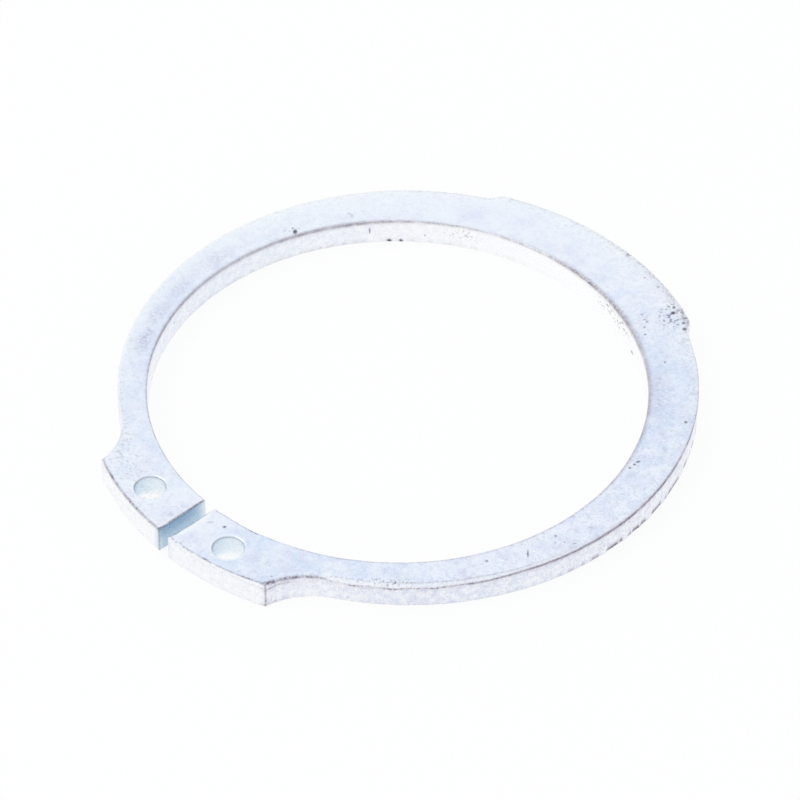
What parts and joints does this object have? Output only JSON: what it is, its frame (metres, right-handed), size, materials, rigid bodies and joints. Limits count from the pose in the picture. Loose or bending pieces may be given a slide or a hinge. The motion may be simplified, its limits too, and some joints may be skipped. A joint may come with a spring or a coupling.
{
  "type": "external retaining ring",
  "caption": "Open spring-steel ring with a tapered arm, short lugs with plier holes at a narrow gap and a raised back pad; snaps into a shaft groove to stop parts sliding along the shaft.",
  "frame": {"origin": "on the axis of the shaft that the ring clamps, in the plane of the ring's flat lower face", "axes": "+Z along the shaft's axis, out of the rolled upper face; the gap between the lugs is at -Y and the thick back with its raised pad at +Y; +X completes a right-handed frame"},
  "size_m": [0.03, 0.0322, 0.0015],
  "materials": {
    "zinc_plated_steel": "blue-white zinc plating over stamped spring steel, satin, finely mottled, with dark pits and worn edges"
  },
  "bodies": {
    "root": {"retaining_ring": "zinc_plated_steel"}
  },
  "joints": []
}
